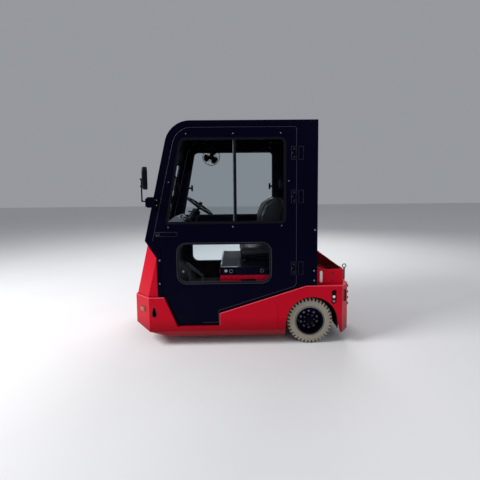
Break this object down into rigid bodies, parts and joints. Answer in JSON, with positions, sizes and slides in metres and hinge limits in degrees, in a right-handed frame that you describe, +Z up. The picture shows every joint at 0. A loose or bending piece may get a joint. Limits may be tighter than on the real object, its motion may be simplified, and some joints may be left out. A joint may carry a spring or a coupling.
{
  "type": "baggage tow tractor",
  "caption": "Electric baggage tug: three-wheeled tow tractor with a closed black cab, hinged doors, red chassis, rear load tray and multi-level tow coupler.",
  "frame": {"origin": "on the ground, under the middle of the overall length, width and height box", "axes": "+X points forward, +Y to the vehicle's left, +Z up"},
  "size_m": [2.18, 1.414, 2.058],
  "materials": {
    "red_paint": "satin red coat",
    "black_paint": "satin black coat",
    "dark_paint": "dark grey coat",
    "battery_case": "dark moulded case",
    "grey_plastic": "grained grey moulding",
    "black_plastic": "grained black moulding",
    "black_rubber": "matt seal and pad rubber",
    "lamp_lens": "clear lens",
    "amber_lens": "amber lens",
    "red_lens": "red lens",
    "window_glass": "clear safety glass",
    "black_vinyl": "black vinyl",
    "grey_tyre": "pale non-marking tread",
    "bare_steel": "plated steel"
  },
  "bodies": {
    "chassis": {"lower_shell": "red_paint", "belly_pan": "red_paint", "rear_fenders": "red_paint", "rear_plate": "red_paint", "frame_rails": "red_paint", "wheel_wells": "dark_paint", "floor_pan": "dark_paint", "bulkhead": "dark_paint", "nose_cowl": "red_paint", "battery_bay": "red_paint", "battery": "battery_case", "load_tray": "red_paint", "tow_coupler": "dark_paint", "drive_axle": "dark_paint", "steer_mount": "dark_paint", "dashboard": "grey_plastic", "steering_column": "black_plastic", "pedals": "black_rubber", "headlamps": "lamp_lens", "corner_lamps": "amber_lens", "tail_lamps": "red_lens", "inching_switches": "black_plastic", "cab_sides": "black_paint", "cab_front_frame": "black_paint", "cab_roof": "black_paint", "cab_rear_wall": "black_paint", "cab_glass": "window_glass", "wiper": "black_plastic", "cab_fan": "black_plastic", "mirror_arms": "black_paint", "mirror_heads": "black_plastic", "hinge_leaves": "black_paint"},
    "battery_lid": {"battery_hood": "black_paint", "seat_cushion": "black_vinyl", "seat_back": "black_vinyl"},
    "door_left": {"door_panel_left": "black_paint", "door_trim_left": "black_rubber", "door_glass_left": "window_glass", "door_fittings_left": "black_plastic"},
    "door_right": {"door_panel_right": "black_paint", "door_trim_right": "black_rubber", "door_glass_right": "window_glass", "door_fittings_right": "black_plastic"},
    "steer_unit": {"steer_fork": "dark_paint"},
    "front_wheel": {"front_tyre": "grey_tyre", "front_rim": "black_paint"},
    "rear_wheel_left": {"rear_tyre_left": "grey_tyre", "rear_rim_left": "black_paint"},
    "rear_wheel_right": {"rear_tyre_right": "grey_tyre", "rear_rim_right": "black_paint"},
    "hitch_pin": {"tow_pin": "bare_steel"},
    "hand_wheel": {"steering_wheel": "black_plastic"}
  },
  "joints": [
    {"name": "door_left_hinge", "type": "hinge", "parent": "chassis", "child": "door_left", "pos_m": [-0.4285, 0.51, 1.286], "axis": [0, 0, 1], "range_deg": [0, 95]},
    {"name": "door_right_hinge", "type": "hinge", "parent": "chassis", "child": "door_right", "pos_m": [-0.4285, -0.51, 1.286], "axis": [0, 0, -1], "range_deg": [0, 95]},
    {"name": "battery_lid_tip", "type": "hinge", "parent": "chassis", "child": "battery_lid", "pos_m": [0.29, 0, 0.65], "axis": [0, 1, 0], "range_deg": [0, 45]},
    {"name": "steer_swivel", "type": "hinge", "parent": "chassis", "child": "steer_unit", "pos_m": [0.56, 0, 0.398], "axis": [0, 0, 1], "range_deg": [-75, 75]},
    {"name": "front_wheel_roll", "type": "hinge", "parent": "steer_unit", "child": "front_wheel", "pos_m": [0.56, 0, 0.19], "axis": [0, 1, 0], "continuous": true},
    {"name": "rear_wheel_left_roll", "type": "hinge", "parent": "chassis", "child": "rear_wheel_left", "pos_m": [-0.551, 0.4425, 0.215], "axis": [0, 1, 0], "continuous": true},
    {"name": "rear_wheel_right_roll", "type": "hinge", "parent": "chassis", "child": "rear_wheel_right", "pos_m": [-0.551, -0.4425, 0.215], "axis": [0, 1, 0], "continuous": true},
    {"name": "hitch_pin_lift", "type": "slide", "parent": "chassis", "child": "hitch_pin", "axis": [0, 0, 1], "range_m": [0, 0.235]},
    {"name": "hand_wheel_turn", "type": "hinge", "parent": "chassis", "child": "hand_wheel", "pos_m": [0.506, 0, 1.277], "axis": [-0.5736, 0, 0.8192], "range_deg": [-375, 375]}
  ],
  "couplings": [
    {"joint": "hand_wheel_turn", "follows": "steer_swivel", "ratio": 5}
  ]
}
